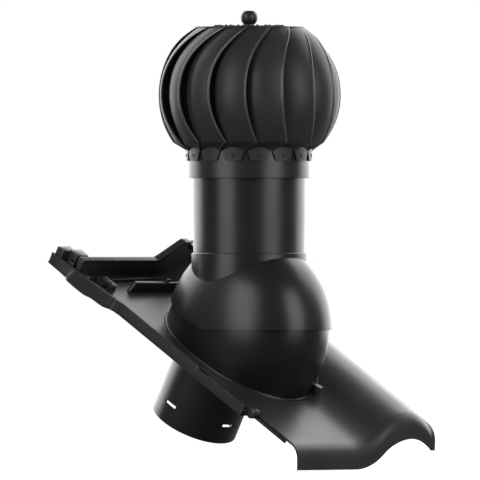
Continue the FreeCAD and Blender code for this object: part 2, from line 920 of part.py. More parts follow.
def tab_rivets():
    rivets = []
    face = skirt_radius + 0.1 + blade_sheet
    back = skirt_radius - skirt_wall
    for index in range(blade_count):
        head = (petal_rivet_head, petal_rivet_rise, face + 0.05)
        rivet = rivet_along_z(1.55, (2.2, back - 1.3, back - 0.1), head)
        rivet = spoke(rivet, petal_phase + index * pitch_angle)
        rivet.translate(V(0, 0, petal_rivet_z))
        rivets.append(rivet)
    return Part.makeCompound(rivets)


def rivet_along_z(shank, tail, head):
    # tail is (radius, bottom, top) and head is (radius, rise, base).
    tail_radius, tail_low, tail_top = tail
    head_radius, rise, base = head
    ball = (head_radius ** 2 + rise ** 2) / (2 * rise)
    half = math.atan2(head_radius, ball - rise) / 2
    shoulder = V(ball * math.sin(half), 0, base + rise - ball + ball * math.cos(half))
    corners = [
        V(0, 0, tail_low), V(tail_radius, 0, tail_low), V(tail_radius, 0, tail_top),
        V(shank, 0, tail_top), V(shank, 0, base), V(head_radius, 0, base),
    ]
    tip = V(0, 0, base + rise)
    edges = [Part.makeLine(a, b) for a, b in zip(corners, corners[1:])]
    edges.append(Part.Arc(corners[-1], shoulder, tip).toShape())
    edges.append(Part.makeLine(tip, corners[0]))
    return spun(Part.Face(Part.Wire(edges)), Z_AXIS)


def crown_top():
    return crown_z + crown_thickness + cap_thickness


def disc_with_holes(radius, bottom, top):
    plate = disc(radius, bottom, top).cut(disc(shaft_radius + 0.05, 0, 500))
    holes = [disc(hub_rivet_shank + 0.05, 400, 500, place) for place in hub_rivet_places()]
    for index in range(blade_count):
        for angle in crown_rivet_angles():
            place = polar(crown_rivet_circle, blade_phase + index * pitch_angle + angle)
            holes.append(disc(crown_rivet_shank + 0.05, 400, 500, place))
    return plate.cut(Part.makeCompound(holes))


def hub_rivet_places():
    return [polar(hub_rivet_circle, 45 + 90 * index) for index in range(4)]


def crown_rivets():
    rivets = []
    under = crown_z - blade_sheet
    for index in range(blade_count):
        for angle in crown_rivet_angles():
            place = polar(crown_rivet_circle, blade_phase + index * pitch_angle + angle)
            head = (crown_rivet_head, crown_rivet_rise, crown_top())
            rivet = rivet_along_z(crown_rivet_shank, (2.0, under - 1.0, under), head)
            rivet.translate(V(place[0], place[1], 0))
            rivets.append(rivet)
    return Part.makeCompound(rivets)


def hub():
    low = crown_z - hub_flange_thickness
    flange = disc(hub_flange_radius, low, crown_z)
    boss = disc(hub_radius, low - hub_length, low)
    body = joined([flange, boss]).cut(disc(shaft_radius + 0.02, 0, 500))
    for place in hub_rivet_places():
        body = body.cut(disc(hub_rivet_shank + 0.05, 0, 500, place))
    return body


def hub_rivets():
    rivets = []
    low = crown_z - hub_flange_thickness
    for place in hub_rivet_places():
        rivet = rivet_along_z(hub_rivet_shank, (3.2, low - 1.2, low), (3.6, 2.0, crown_top()))
        rivet.translate(V(place[0], place[1], 0))
        rivets.append(rivet)
    return Part.makeCompound(rivets)


def ball_knob():
    ball = Part.makeSphere(knob_radius, V(0, 0, knob_centre))
    foot = disc(knob_foot_radius, crown_top(), crown_top() + knob_foot_height)
    knob = ball.fuse(foot)
    knob = knob.common(disc(30, crown_top(), knob_top))
    return knob.cut(disc(shaft_radius + 0.02, 0, shaft_tip + 0.3))


save("base_tile", base_tile())
save("levelling_dome", levelling_dome())
save("spigot_plate", spigot_plate())
save("spigot_gasket", spigot_gasket())
save("spigot_screws", spigot_screws())
save("dome_seal", dome_seal())
save("hood", hood())
save("vent_tube", vent_tube())
save("collar_seal", collar_seal())
save("bearing_bridge", bearing_bridge())
save("bridge_rivets", bridge_rivets())
save("bearing_housing", bearing_housing())
save("housing_screws", housing_screws())
save("housing_nuts", housing_nuts())
save("bearing_circlips", bearing_circlips())
save("bearing_balls", bearing_balls())
save("lower_bearing_outer_race", outer_race(lower_bearing_z))
save("upper_bearing_outer_race", outer_race(upper_bearing_z))
save("lower_bearing_inner_race", inner_race(lower_bearing_z))
save("upper_bearing_inner_race", inner_race(upper_bearing_z))
save("rotor_shaft", rotor_shaft())
save("shaft_circlip", shaft_circlip())
save("skirt_ring", skirt_ring())
save("tab_rivets", tab_rivets())
save("crown_plate", disc_with_holes(crown_radius, crown_z, crown_z + crown_thickness))
save("cap_disc", disc_with_holes(cap_radius, crown_z + crown_thickness, crown_top()))
save("crown_rivets", crown_rivets())
save("hub", hub())
save("hub_rivets", hub_rivets())
save("ball_knob", ball_knob())

pattern_blade = first_blade()
for index in range(blade_count):
    angle = blade_phase + index * pitch_angle
    save("blade_%02d" % (index + 1), turned(pattern_blade, angle))
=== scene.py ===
"""Roof turbine ventilator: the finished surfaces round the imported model.

Shapes are drawn in millimetres about the centre on which the hood tilts, X across the roof,
Y uphill and Z up along the tube, and are moved to the part's own frame at the end.
The roof frame has x across, t uphill along the roof and w square to the roof.
"""

import math

import bmesh
import bpy
from mathutils import Matrix, Vector


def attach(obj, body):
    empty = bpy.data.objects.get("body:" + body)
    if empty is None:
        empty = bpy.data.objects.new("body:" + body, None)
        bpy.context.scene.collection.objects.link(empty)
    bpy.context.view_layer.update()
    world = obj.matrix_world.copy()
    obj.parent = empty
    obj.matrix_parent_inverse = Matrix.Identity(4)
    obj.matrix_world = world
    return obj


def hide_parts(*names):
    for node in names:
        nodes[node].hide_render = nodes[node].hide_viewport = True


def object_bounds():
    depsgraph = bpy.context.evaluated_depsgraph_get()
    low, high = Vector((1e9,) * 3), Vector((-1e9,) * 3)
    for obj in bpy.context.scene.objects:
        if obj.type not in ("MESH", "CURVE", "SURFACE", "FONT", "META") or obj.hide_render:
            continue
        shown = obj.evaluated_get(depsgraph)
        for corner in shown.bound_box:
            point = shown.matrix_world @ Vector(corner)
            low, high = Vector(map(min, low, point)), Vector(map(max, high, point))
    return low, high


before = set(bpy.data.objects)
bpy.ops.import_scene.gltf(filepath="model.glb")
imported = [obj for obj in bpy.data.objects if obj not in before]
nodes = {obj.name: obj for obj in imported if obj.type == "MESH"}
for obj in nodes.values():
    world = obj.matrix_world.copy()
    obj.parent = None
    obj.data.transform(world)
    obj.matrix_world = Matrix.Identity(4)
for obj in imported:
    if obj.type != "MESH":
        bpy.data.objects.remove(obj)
cad_low, cad_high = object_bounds()

MM = 0.001
TILT_CENTRE = Vector((0.0, -0.1112654, 0.1320173))
TO_PART = Matrix.Translation(TILT_CENTRE) @ Matrix.Scale(MM, 4)

PITCH = math.radians(30.0)
PAN_DROP = 47.3
DOME_T = PAN_DROP * math.sin(PITCH)
DOME_W = PAN_DROP * math.cos(PITCH)
ROOF = Matrix.Translation((0, 0, -PAN_DROP)) @ Matrix.Rotation(PITCH, 4, "X")


def roof(x, t, w):
    """A place of the roof frame in the frame that the shapes are drawn in."""
    return ROOF @ Vector((x, t, w))


# Materials

ROUGH_CHANGE = 0.03


def node(tree, kind, **values):
    """Adds a shader node and sets its sockets, which are named with _ for a space."""
    made = tree.nodes.new("ShaderNode" + kind)
    for name, value in values.items():
        made.inputs[name.replace("_", " ")].default_value = value
    return made


def finish_material(name, dark, light, rough, grain, depth, metal=0.0, mottle=14.0, gleam=0.5):
    """A finish with a fine grain, slow changes of gloss and a little colour variation."""
    made = bpy.data.materials.new(name)
    made.use_nodes = True
    tree = made.node_tree
    shader = tree.nodes["Principled BSDF"]
    low_gloss = rough - ROUGH_CHANGE
    high_gloss = rough + ROUGH_CHANGE
    shader.inputs["Metallic"].default_value = metal
    shader.inputs["Specular IOR Level"].default_value = gleam
    place = tree.nodes.new("ShaderNodeTexCoord")
    slow = node(tree, "TexNoise", Scale=mottle, Detail=3.0, Roughness=0.55)
    fine = node(tree, "TexNoise", Scale=grain, Detail=2.0, Roughness=0.6)
    tree.links.new(place.outputs["Object"], slow.inputs["Vector"])
    tree.links.new(place.outputs["Object"], fine.inputs["Vector"])
    tint = tree.nodes.new("ShaderNodeMix")
    tint.data_type = "RGBA"
    tint.inputs["A"].default_value = (*dark, 1.0)
    tint.inputs["B"].default_value = (*light, 1.0)
    tree.links.new(slow.outputs["Fac"], tint.inputs["Factor"])
    tree.links.new(tint.outputs["Result"], shader.inputs["Base Color"])
    gloss = node(tree, "MapRange", From_Min=0.3, From_Max=0.7, To_Min=low_gloss, To_Max=high_gloss)
    tree.links.new(slow.outputs["Fac"], gloss.inputs["Value"])
    tree.links.new(gloss.outputs["Result"], shader.inputs["Roughness"])
    bump = node(tree, "Bump", Strength=0.25, Distance=depth)
    tree.links.new(fine.outputs["Fac"], bump.inputs["Height"])
    tree.links.new(bump.outputs["Normal"], shader.inputs["Normal"])
    return made


tile_plastic = finish_material(
    "tile_plastic", (0.026, 0.026, 0.027), (0.033, 0.033, 0.034), 0.37, 900, 0.00006)
# A darker copy of the hood's plastic: painted shade on the lower dome and its foot.
dome_plastic_painted_shade = finish_material(
    "dome_plastic_painted_shade", (0.004, 0.004, 0.005), (0.007, 0.007, 0.008), 0.33, 1100, 0.00004)
hood_plastic = finish_material(
    "hood_plastic", (0.014, 0.014, 0.015), (0.018, 0.018, 0.019), 0.32, 1100, 0.00004)
tube_plastic = finish_material(
    "tube_plastic", (0.013, 0.013, 0.014), (0.017, 0.017, 0.018), 0.32, 1100, 0.00004)
powder_coat = finish_material(
    "powder_coat", (0.028, 0.028, 0.029), (0.037, 0.037, 0.038), 0.45, 1500, 0.00005, gleam=0.34)
skirt_coat = finish_material(
    "skirt_coat", (0.018, 0.018, 0.019), (0.024, 0.024, 0.025), 0.33, 1500, 0.00003)
# A lighter copy of the blades' coat: painted highlight along the hem's rolled bead.
hem_painted_highlight = finish_material(
    "hem_painted_highlight", (0.055, 0.055, 0.056), (0.075, 0.075, 0.076), 0.30, 1500, 0.00003, gleam=0.6)
knob_plastic = finish_material(
    "knob_plastic", (0.016, 0.016, 0.017), (0.021, 0.021, 0.022), 0.40, 1400, 0.00003)
# The rivets' own dark lacquer, also used as painted shadow along the petals' sides and feet.
rivet_black_and_painted_shadow = finish_material(
    "rivet_black_and_painted_shadow", (0.008, 0.008, 0.009), (0.012, 0.012, 0.013), 0.34, 1800, 0.00003)
black_rubber = finish_material(
    "black_rubber", (0.010, 0.010, 0.010), (0.018, 0.018, 0.018), 0.62, 1300, 0.0001)
zinc_plate = finish_material(
    "zinc_plate", (0.42, 0.43, 0.45), (0.58, 0.59, 0.60), 0.34, 700, 0.00004, metal=1.0)
ground_steel = finish_material(
    "ground_steel", (0.44, 0.44, 0.45), (0.56, 0.56, 0.57), 0.22, 900, 0.00003, metal=1.0)


# Pieces


def keep_edges(bm, angle):
    """Shades the faces smooth and keeps as sharp the edges that turn by more than the angle."""
    limit = math.radians(angle)
    for face in bm.faces:
        face.smooth = True
    for edge in bm.edges:
        edge.smooth = edge.calc_face_angle(0.0) < limit


def piece(name, bm, body, material, slot, *replaced, angle=32.0):
    """Makes the object, rides it on its body and hides the nodes that it replaces."""
    bmesh.ops.transform(bm, matrix=TO_PART, verts=bm.verts)
    keep_edges(bm, angle)
    mesh = bpy.data.meshes.new(name)
    bm.to_mesh(mesh)
    bm.free()
    made = bpy.data.objects.new(name, mesh)
    bpy.context.scene.collection.objects.link(made)
    for finish in material if isinstance(material, (list, tuple)) else [material]:
        mesh.materials.append(finish)
    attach(made, body)
    if replaced:
        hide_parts(*replaced)
    return made


def patch(columns, rows, point, finish=None):
    """A grid of faces with corners at point(column, row) and the material of finish(column, row)."""
    bm = bmesh.new()
    bmesh.ops.create_grid(bm, x_segments=columns - 1, y_segments=rows - 1, size=1.0)
    if finish:
        for face in bm.faces:
            middle = face.calc_center_median()
            column = int((middle.x + 1.0) / 2.0 * (columns - 1))
            row = int((middle.y + 1.0) / 2.0 * (rows - 1))
            face.material_index = finish(column, row)
    for vert in bm.verts:
        column = round((vert.co.x + 1.0) / 2.0 * (columns - 1))
        row = round((vert.co.y + 1.0) / 2.0 * (rows - 1))
        vert.co = point(column, row)
    return bm


def closed_patch(columns, rows, point):
    """As patch, joined into a ring along its columns."""
    bm = patch(columns + 1, rows, point)
    bmesh.ops.remove_doubles(bm, verts=bm.verts, dist=0.001)
    return bm


def thicken(bm, depth):
    """Gives the sheet a wall on its inner side, which positive depth puts behind the normals."""
    bmesh.ops.solidify(bm, geom=bm.faces[:], thickness=depth)
    return bm


def spun(profile, steps=192, axis=(0, 0, 1), centre=(0, 0, 0), closed=True):
    """Turns a profile of (radius, height) points round the tube's axis."""
    bm = bmesh.new()
    verts = [bm.verts.new((radius, 0, height)) for radius, height in profile]
    pairs = list(zip(verts, verts[1:]))
    if closed:
        pairs.append((verts[-1], verts[0]))
    edges = [bm.edges.new(pair) for pair in pairs]
    bmesh.ops.spin(bm, geom=verts + edges, cent=centre, axis=axis, angle=math.tau,
                   steps=steps, use_merge=True)
    bmesh.ops.remove_doubles(bm, verts=bm.verts, dist=0.0005)
    bmesh.ops.recalc_face_normals(bm, faces=bm.faces)
    return bm


def slab(outline, low, high, rounding=0.8, segments=2, leaning=True):
    """A plate from its outline in x and t, between two heights w, with rounded edges."""
    bm = bmesh.new()
    face = bm.faces.new([bm.verts.new((x, t, low)) for x, t in outline])
    grown = bmesh.ops.extrude_face_region(bm, geom=[face])["geom"]
    top = [item for item in grown if isinstance(item, bmesh.types.BMVert)]
    bmesh.ops.translate(bm, verts=top, vec=(0, 0, high - low))
    bmesh.ops.recalc_face_normals(bm, faces=bm.faces)
    if rounding:
        bmesh.ops.bevel(bm, geom=bm.edges, offset=rounding, segments=segments, profile=0.5,
                        affect="EDGES", material=-1)
    if leaning:
        bmesh.ops.transform(bm, matrix=ROOF, verts=bm.verts)
    return bm


def merged(parts):
    """Joins several meshes into one."""
    whole = bmesh.new()
    for part in parts:
        mesh = bpy.data.meshes.new("part")
        part.to_mesh(mesh)
        part.free()
        whole.from_mesh(mesh)
        bpy.data.meshes.remove(mesh)
    return whole


# Rotor

BLADES = 15
BLADE_STEP = 360.0 / BLADES
BLADE_PHASE = 7.0
BLADE_SPAN = 24.8
ROTOR_RADIUS = 128.4
ROTOR_HALF_HEIGHT = 119.7
ROTOR_CENTRE = 332.8
BLADE_BOTTOM = 265.0
CROWN_Z = 428.0
CROWN_TAB_DROP = 0.15
CROWN_TAB_REACH = (0.58, 0.80, 0.985)
TWIST_ABOVE = 25.0
TWIST_BELOW = 8.5
TWIST_CURVE_ABOVE = 2.6
TWIST_CURVE_BELOW = 1.9
LOUVRE_GAP_ENDS = 3.0
LOUVRE_GAP_SWELL = 11.2
SECTION_CURVE = 2.4
HEM_FADE = 16.0
SHEET = 1.0
HEM = (
    (0.0, -0.5), (0.05, 0.35), (0.4, 0.95), (1.0, 1.35), (1.8, 1.5), (2.6, 1.35), (3.2, 0.95), (3.6, 0.4),
    (3.9, 0.0), (4.6, -0.05),
)
SKIRT_RADIUS = 86.0
SKIRT_TOP = 256.0
SKIRT_BOTTOM = 215.0
PETAL_RADIUS = 88.8
PETAL_BOTTOM = 239.0
PETAL_PHASE = 17.9
PETAL_SPAN = 23.4
PETAL_RISE = 2.5
PETAL_ARCH = 5.5
PETAL_WAIST = 5.0
PETAL_WAIST_HALF = 13.2
PETAL_FOOT_HALF = 8.2
PETAL_TAPER = 0.85
SKIN_STEPS = 13
TAB_ROWS = len(CROWN_TAB_REACH)
SKIN_ROWS = 44
BEND_ROWS = 4
TAIL_EDGE = 0.975
# Columns of the hem's bead that are painted lighter as a highlight.
HIGHLIGHT_BEAD_COLUMNS = 8
# Columns at the petal's sides that are painted dark as a shadow outline, like its lowest rows.
SHADOW_OUTLINE_COLUMNS = 4
PETAL_LEVELS = (0.0, 0.2, 0.42, 0.62, 0.76, 0.86, 0.93, 0.98, 1.0)


def polar(radius, angle, z):
    """A place from its distance from the tube's axis, its angle in degrees and its height."""
    turn = math.radians(angle)
    return Vector((radius * math.cos(turn), radius * math.sin(turn), z))


def outline_radius(z):
    """The radius of the flattened sphere on which the hems lie, at this height."""
    share = (z - ROTOR_CENTRE) / ROTOR_HALF_HEIGHT
    return ROTOR_RADIUS * math.sqrt(1 - share ** 2)


def latitude(z):
    """The angle of this height on the flattened sphere, 0 at its middle."""
    return math.asin((z - ROTOR_CENTRE) / ROTOR_HALF_HEIGHT)


def hem_twist(z):
    """How many degrees the hem has turned at this height, from none at mid height."""
    if z > ROTOR_CENTRE:
        return TWIST_ABOVE * (latitude(z) / latitude(CROWN_Z)) ** TWIST_CURVE_ABOVE
    return TWIST_BELOW * (latitude(z) / latitude(BLADE_BOTTOM)) ** TWIST_CURVE_BELOW


def louvre_gap(z):
    """How far a blade's tail lies inside the next blade's hem at this height."""
    end = CROWN_Z if z > ROTOR_CENTRE else BLADE_BOTTOM
    share = (z - ROTOR_CENTRE) / (end - ROTOR_CENTRE)
    return LOUVRE_GAP_ENDS + LOUVRE_GAP_SWELL * (1 - share ** 2)


def blade_skin(column, z):
    """Where a column of the blade lies at this height: along its hem, then on to its tail."""
    radius = outline_radius(z)
    hem_angle = math.degrees(HEM[-1][0] / radius)
    if column < len(HEM):
        width, raised = HEM[column]
        raised *= min(1.0, 0.1 + max(0.0, CROWN_Z - z) / HEM_FADE)
        back = math.degrees(width / radius)
    else:
        share = (column - len(HEM) + 1) / SKIN_STEPS
        if column == len(HEM) + SKIN_STEPS - 2:
            share = TAIL_EDGE
        back = hem_angle + share * (BLADE_SPAN - hem_angle)
        raised = 0.0
    across = back / BLADE_SPAN
    radius += raised - across ** SECTION_CURVE * louvre_gap(z)
    return polar(radius, hem_twist(z) - back, z), across


def petal_point(across, level):
    """A place on the petal: across from its leading side, level from its arched top to its foot."""
    side = 1.0 - 2.0 * across
    arch = SKIRT_TOP + PETAL_RISE - PETAL_ARCH * side ** 2
    z = arch + level * (PETAL_BOTTOM - arch)
    top_half = PETAL_RADIUS * math.sin(math.radians(PETAL_SPAN / 2))
    waist = PETAL_BOTTOM + PETAL_WAIST
    if z > waist:
        rise = ((z - waist) / (SKIRT_TOP - waist)) ** PETAL_TAPER
        half = PETAL_WAIST_HALF + (top_half - PETAL_WAIST_HALF) * rise
    else:
        corner = math.sqrt(max(0.0, 1 - ((waist - z) / PETAL_WAIST) ** 2))
        half = PETAL_FOOT_HALF + (PETAL_WAIST_HALF - PETAL_FOOT_HALF) * corner
    half = min(half, top_half)
    middle = PETAL_PHASE - BLADE_PHASE - BLADE_STEP
    return polar(PETAL_RADIUS, middle + math.degrees(side * half / PETAL_RADIUS), z)


def blade_point(column, row):
    """The blade from the tab under the crown, down its skin and the bend, to its petal."""
    if row < TAB_ROWS:
        top, across = blade_skin(column, CROWN_Z)
        reach = CROWN_TAB_REACH[row]
        return Vector((top.x * reach, top.y * reach, CROWN_Z - CROWN_TAB_DROP))
    row -= TAB_ROWS
    if row <= SKIN_ROWS:
        start = latitude(CROWN_Z)
        end = latitude(BLADE_BOTTOM)
        lat = start + (end - start) * row / SKIN_ROWS
        point, across = blade_skin(column, ROTOR_CENTRE + ROTOR_HALF_HEIGHT * math.sin(lat))
        return point
    row -= SKIN_ROWS
    low, across = blade_skin(column, BLADE_BOTTOM)
    if row < BEND_ROWS:
        return low.lerp(petal_point(across, 0.0), row / BEND_ROWS)
    return petal_point(across, PETAL_LEVELS[row - BEND_ROWS])


def blade_finish(column, row):
    """The hem's bead is painted lighter up to the bend as a highlight, and the petal's sides and foot are
    painted dark as a shadow outline.
    """
    petal_row = row - TAB_ROWS - SKIN_ROWS - BEND_ROWS
    if petal_row < 0:
        return 1 if column < HIGHLIGHT_BEAD_COLUMNS and row < TAB_ROWS + SKIN_ROWS else 0
    side = column < SHADOW_OUTLINE_COLUMNS or column > len(HEM) + SKIN_STEPS - 3
    return 2 if side or petal_row > len(PETAL_LEVELS) - 3 else 0


def blade(index):
    """One blade with its hem, tab and petal, turned to its place in the ring."""
    columns = len(HEM) + SKIN_STEPS
    rows = TAB_ROWS + SKIN_ROWS + BEND_ROWS + len(PETAL_LEVELS)
    bm = patch(columns, rows, blade_point, blade_finish)
    bmesh.ops.recalc_face_normals(bm, faces=bm.faces)
    middle = max(bm.faces, key=lambda face: face.calc_center_median().to_2d().length)
    if middle.normal.dot(Vector((*middle.calc_center_median().to_2d(), 0.0))) < 0:
        bmesh.ops.reverse_faces(bm, faces=bm.faces)
    thicken(bm, SHEET)
    turn = Matrix.Rotation(math.radians(BLADE_PHASE + index * BLADE_STEP), 4, "Z")
    bmesh.ops.transform(bm, matrix=turn, verts=bm.verts)
    return bm


for index in range(BLADES):
    label = "blade_%02d" % (index + 1)
    # The blade's coat, then the hem's painted highlight, then the painted shadow round the petal.
    finishes = [powder_coat, hem_painted_highlight, rivet_black_and_painted_shadow]
    piece("rotor_" + label, blade(index), "rotor", finishes, "rotor_sheet", label, angle=40.0)

skirt = spun([
    (SKIRT_RADIUS - SHEET, SKIRT_BOTTOM + 0.4), (SKIRT_RADIUS - 0.7, SKIRT_BOTTOM),
    (SKIRT_RADIUS - 0.25, SKIRT_BOTTOM), (SKIRT_RADIUS, SKIRT_BOTTOM + 0.35),
    (SKIRT_RADIUS, SKIRT_TOP), (SKIRT_RADIUS - SHEET, SKIRT_TOP),
])
piece("rotor_skirt", skirt, "rotor", skirt_coat, "rotor_sheet", "skirt_ring")

KNOB_RADIUS = 12.0
KNOB_CENTRE = 442.0
KNOB_STEPS = 16
KNOB_LOW = -56.0
KNOB_HIGH = 53.0
knob_profile = [(0.0, 430.6), (7.2, 430.6), (7.5, 430.9), (7.5, 431.9)]
for step in range(KNOB_STEPS + 1):
    lift = math.radians(KNOB_LOW + (KNOB_HIGH - KNOB_LOW) * step / KNOB_STEPS)
    knob_profile.append((KNOB_RADIUS * math.cos(lift), KNOB_CENTRE + KNOB_RADIUS * math.sin(lift)))
knob_profile += [(6.0, 451.85), (4.5, 451.98), (0.0, 451.98)]
knob = spun(knob_profile, 64, closed=False)
piece("rotor_knob", knob, "rotor", knob_plastic, "knob", "ball_knob", angle=50.0)


# Tube, hood and dome

tube = spun([(76.8, 105.3), (79.0, 105.3), (80.3, 240.0), (79.9, 240.2), (78.5, 240.2)])
piece("round_tube", tube, "stack", tube_plastic, "vent_tube", "vent_tube")

HOOD_HALF = 93.0
HOOD_RADIUS = 131.0
COLLAR_RADIUS = 81.9
COLLAR_TOP = 109.0
COLLAR_EDGE = 0.8
HOOD_WALL = 2.2
DOME_WALL = 2.8
TILE_WALL = 3.2
DOME_HALF = 89.5
DOME_RADIUS = 126.5
FULLNESS = 2.2
HOOD_REAR = math.radians(23.6)


def surface_reach(half_width, radius, direction):
    """How far the oval body's surface is from the tilt centre in this direction."""
    x, y, z = direction
    across = (abs(x) / half_width) ** FULLNESS
    round_x = (math.hypot(y, z) / radius) ** FULLNESS
    return (across + round_x) ** (-1.0 / FULLNESS)


def collar_meets(turn):
    """The height at which the collar's wall runs into the hood, at this angle round the tube."""
    x = COLLAR_RADIUS * math.cos(turn)
    y = COLLAR_RADIUS * math.sin(turn)
    reach = HOOD_RADIUS * (1 - (abs(x) / HOOD_HALF) ** FULLNESS) ** (1.0 / FULLNESS)
    return math.sqrt(reach ** 2 - y ** 2)


HOOD_STEPS = 180
COLLAR_ROWS = (0.0, 0.0, 0.0, 0.25, 0.5, 0.75, 0.93, 1.0)
HOOD_ROWS = 46


def hood_point(column, row):
    """The hood from the collar's top edge down to the edge over the dome."""
    turn = math.tau * column / HOOD_STEPS
    join = collar_meets(turn)
    if row < 2:
        inset = (HOOD_WALL, 1.0)[row]
        return polar(COLLAR_RADIUS - inset, math.degrees(turn), COLLAR_TOP)
    if row < len(COLLAR_ROWS):
        z = COLLAR_TOP - COLLAR_EDGE + COLLAR_ROWS[row] * (join - COLLAR_TOP + COLLAR_EDGE)
        return polar(COLLAR_RADIUS, math.degrees(turn), z)
    share = (row - len(COLLAR_ROWS) + 1) / HOOD_ROWS
    start = math.atan2(join, COLLAR_RADIUS)
    end = math.atan(math.sin(turn) * math.tan(HOOD_REAR)) if math.sin(turn) > 0 else 0.0
    lift = start + (end - start) * share
    way = Vector((math.cos(turn) * math.cos(lift), math.sin(turn) * math.cos(lift), math.sin(lift)))
    return way * surface_reach(HOOD_HALF, HOOD_RADIUS, way)


hood = closed_patch(HOOD_STEPS, len(COLLAR_ROWS) + HOOD_ROWS, hood_point)
bmesh.ops.recalc_face_normals(hood, faces=hood.faces)
thicken(hood, HOOD_WALL)
piece("tilting_hood", hood, "stack", hood_plastic, "hood", "hood", angle=24.0)

THROAT = 78.0
MID_TILT = math.radians(6.0)
DOME_ROWS = 40
WALL_ROWS = 8
LEAN = Matrix.Rotation(MID_TILT, 3, "X")
NORMAL = Vector((0.0, -math.sin(PITCH), math.cos(PITCH)))


def dome_point(column, row):
    """The dome from its opening down to the roof, then its wall square to the roof."""
    turn = math.tau * column / HOOD_STEPS
    flat = LEAN @ Vector((math.cos(turn), math.sin(turn), 0.0))
    up = LEAN @ Vector((0.0, 0.0, 1.0))
    low, high = 0.2, 1.5
    for _ in range(30):
        lift = (low + high) / 2
        way = flat * math.cos(lift) + up * math.sin(lift)
        reach = surface_reach(DOME_HALF, DOME_RADIUS, way) * math.cos(lift)
        low, high = (lift, high) if reach > THROAT else (low, lift)
    end = math.atan2(-flat.dot(NORMAL), up.dot(NORMAL))
    if row < DOME_ROWS:
        angle = lift + (end - lift) * row / (DOME_ROWS - 1)
        way = flat * math.cos(angle) + up * math.sin(angle)
        return way * surface_reach(DOME_HALF, DOME_RADIUS, way)
    way = flat * math.cos(end) + up * math.sin(end)
    rim = way * surface_reach(DOME_HALF, DOME_RADIUS, way)
    return rim - NORMAL * (row - DOME_ROWS + 1) / WALL_ROWS * (DOME_W + TILE_WALL)


dome = closed_patch(HOOD_STEPS, DOME_ROWS + WALL_ROWS, dome_point)
bmesh.ops.recalc_face_normals(dome, faces=dome.faces)
thicken(dome, DOME_WALL)
# The dome takes the darker plastic as painted shade.
piece("lower_dome", dome, "roof_base", dome_plastic_painted_shade, "levelling_dome", "levelling_dome")


# Tile

ROLL_FOOT = 8.0
ROLL_CREST = 124.0
ROLL_HEIGHT = 36.8
FLANK_RADIUS = 56.0
FLANK_WIDTH = 38.0
LIP_WIDTH = 6.0
PAN_LEFT = -106.0
TILE_HEAD = 286.0
FRONT_REACH = 203.7
NOSE_RADIUS = 28.0
APRON_DROP = 31.1
ROLL_RUN = ROLL_CREST - ROLL_FOOT
ROLL_RADIUS = (ROLL_RUN ** 2 + ROLL_HEIGHT ** 2) / (4 * ROLL_HEIGHT)
LIP_W = ROLL_HEIGHT - FLANK_RADIUS * (1 - math.cos(math.asin(FLANK_WIDTH / FLANK_RADIUS)))


def tile_height(x):
    """Height w of the tile's upper face at this place across it."""
    if x <= ROLL_FOOT:
        return 0.0
    if x <= ROLL_FOOT + ROLL_RUN / 2:
        return ROLL_RADIUS - math.sqrt(ROLL_RADIUS ** 2 - (x - ROLL_FOOT) ** 2)
    if x <= ROLL_CREST:
        return ROLL_HEIGHT - ROLL_RADIUS + math.sqrt(ROLL_RADIUS ** 2 - (ROLL_CREST - x) ** 2)
    if x <= ROLL_CREST + FLANK_WIDTH:
        return ROLL_HEIGHT - FLANK_RADIUS + math.sqrt(FLANK_RADIUS ** 2 - (x - ROLL_CREST) ** 2)
    return LIP_W


def spread(start, end, count):
    """Evenly spaced values from the start up to, but without, the end."""
    return [start + (end - start) * index / count for index in range(count)]


TILE_X = spread(PAN_LEFT, ROLL_FOOT, 12) + spread(ROLL_FOOT, ROLL_CREST, 44)
TILE_X += spread(ROLL_CREST, ROLL_CREST + FLANK_WIDTH, 20)
TILE_X += spread(ROLL_CREST + FLANK_WIDTH, ROLL_CREST + FLANK_WIDTH + LIP_WIDTH, 3)
TILE_X.append(ROLL_CREST + FLANK_WIDTH + LIP_WIDTH)
TILE_T_STEPS = 110
NOSE_STEPS = 18
APRON_STEPS = 6


def tile_point(column, row):
    """The tile from its head down the slope, round the nose and down the apron."""
    x = TILE_X[column]
    w = tile_height(x)
    corner_t = (w * math.sin(PITCH) - FRONT_REACH) / math.cos(PITCH)
    setback = NOSE_RADIUS * math.tan((math.pi / 2 - PITCH) / 2)
    if row < TILE_T_STEPS:
        t = TILE_HEAD + (corner_t + setback - TILE_HEAD) * row / TILE_T_STEPS
        return roof(x, t, w)
    row -= TILE_T_STEPS
    start = roof(x, corner_t + setback, w)
    centre = start - NORMAL * NOSE_RADIUS
    if row < NOSE_STEPS:
        turn = (math.pi / 2 - PITCH) * row / NOSE_STEPS
        return centre + Vector((0.0, -math.sin(PITCH + turn), math.cos(PITCH + turn))) * NOSE_RADIUS
    row -= NOSE_STEPS
    corner = roof(x, corner_t, w)
    top = centre.z
    return Vector((x, -FRONT_REACH, top + (corner.z - APRON_DROP - top) * row / APRON_STEPS))


skin = patch(len(TILE_X), TILE_T_STEPS + NOSE_STEPS + APRON_STEPS + 1, tile_point)
bmesh.ops.recalc_face_normals(skin, faces=skin.faces)
if sum(face.normal.z for face in skin.faces) < 0:
    bmesh.ops.reverse_faces(skin, faces=skin.faces)


def dome_outline(x, t, inset=0.0):
    """Below 1 inside the dome's wall, seen square to the roof."""
    across = (abs(x) / (DOME_HALF - inset)) ** FULLNESS
    return across + (abs(t - DOME_T) / (DOME_RADIUS - inset)) ** FULLNESS


